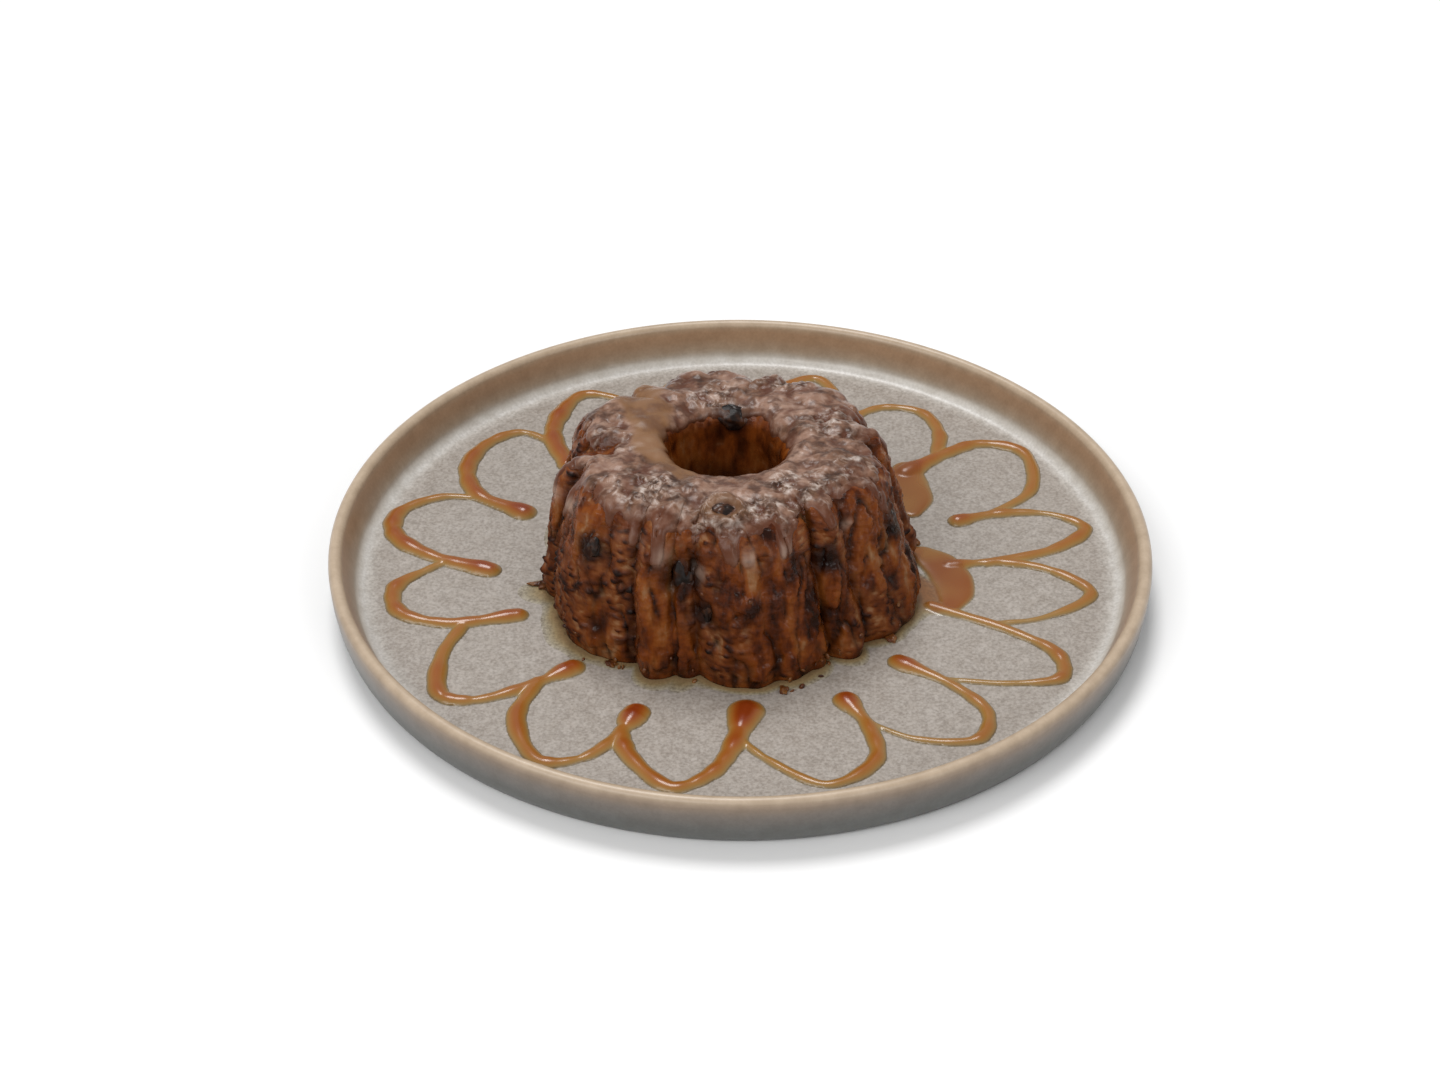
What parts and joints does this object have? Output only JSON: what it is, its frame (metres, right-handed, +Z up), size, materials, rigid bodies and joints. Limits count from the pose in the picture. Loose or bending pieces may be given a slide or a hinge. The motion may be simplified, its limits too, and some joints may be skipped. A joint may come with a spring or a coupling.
{
  "type": "date cake on a plate",
  "caption": "Small fluted date ring cake soaked in toffee sauce, served on a round stoneware plate with a petal-shaped caramel drizzle.",
  "frame": {"origin": "centre of the plate's underside, on the surface it stands on", "axes": "+Z up along the plate's axis, -Y towards the front of the dish as served"},
  "size_m": [0.22, 0.22, 0.0502],
  "materials": {
    "stoneware": "reactive satin glaze, grey-beige with a brown wall and a pale lip",
    "date_sponge": "moist open crumb soaked in dark syrup",
    "toffee_glaze": "wet toffee sauce over the top and in runs down the sides",
    "caramel": "clear glossy caramel, darker where it lies thick",
    "date_fruit": "dark sticky date flesh"
  },
  "bodies": {
    "root": {"plate": "stoneware", "date_cake": "date_sponge"}
  },
  "joints": []
}
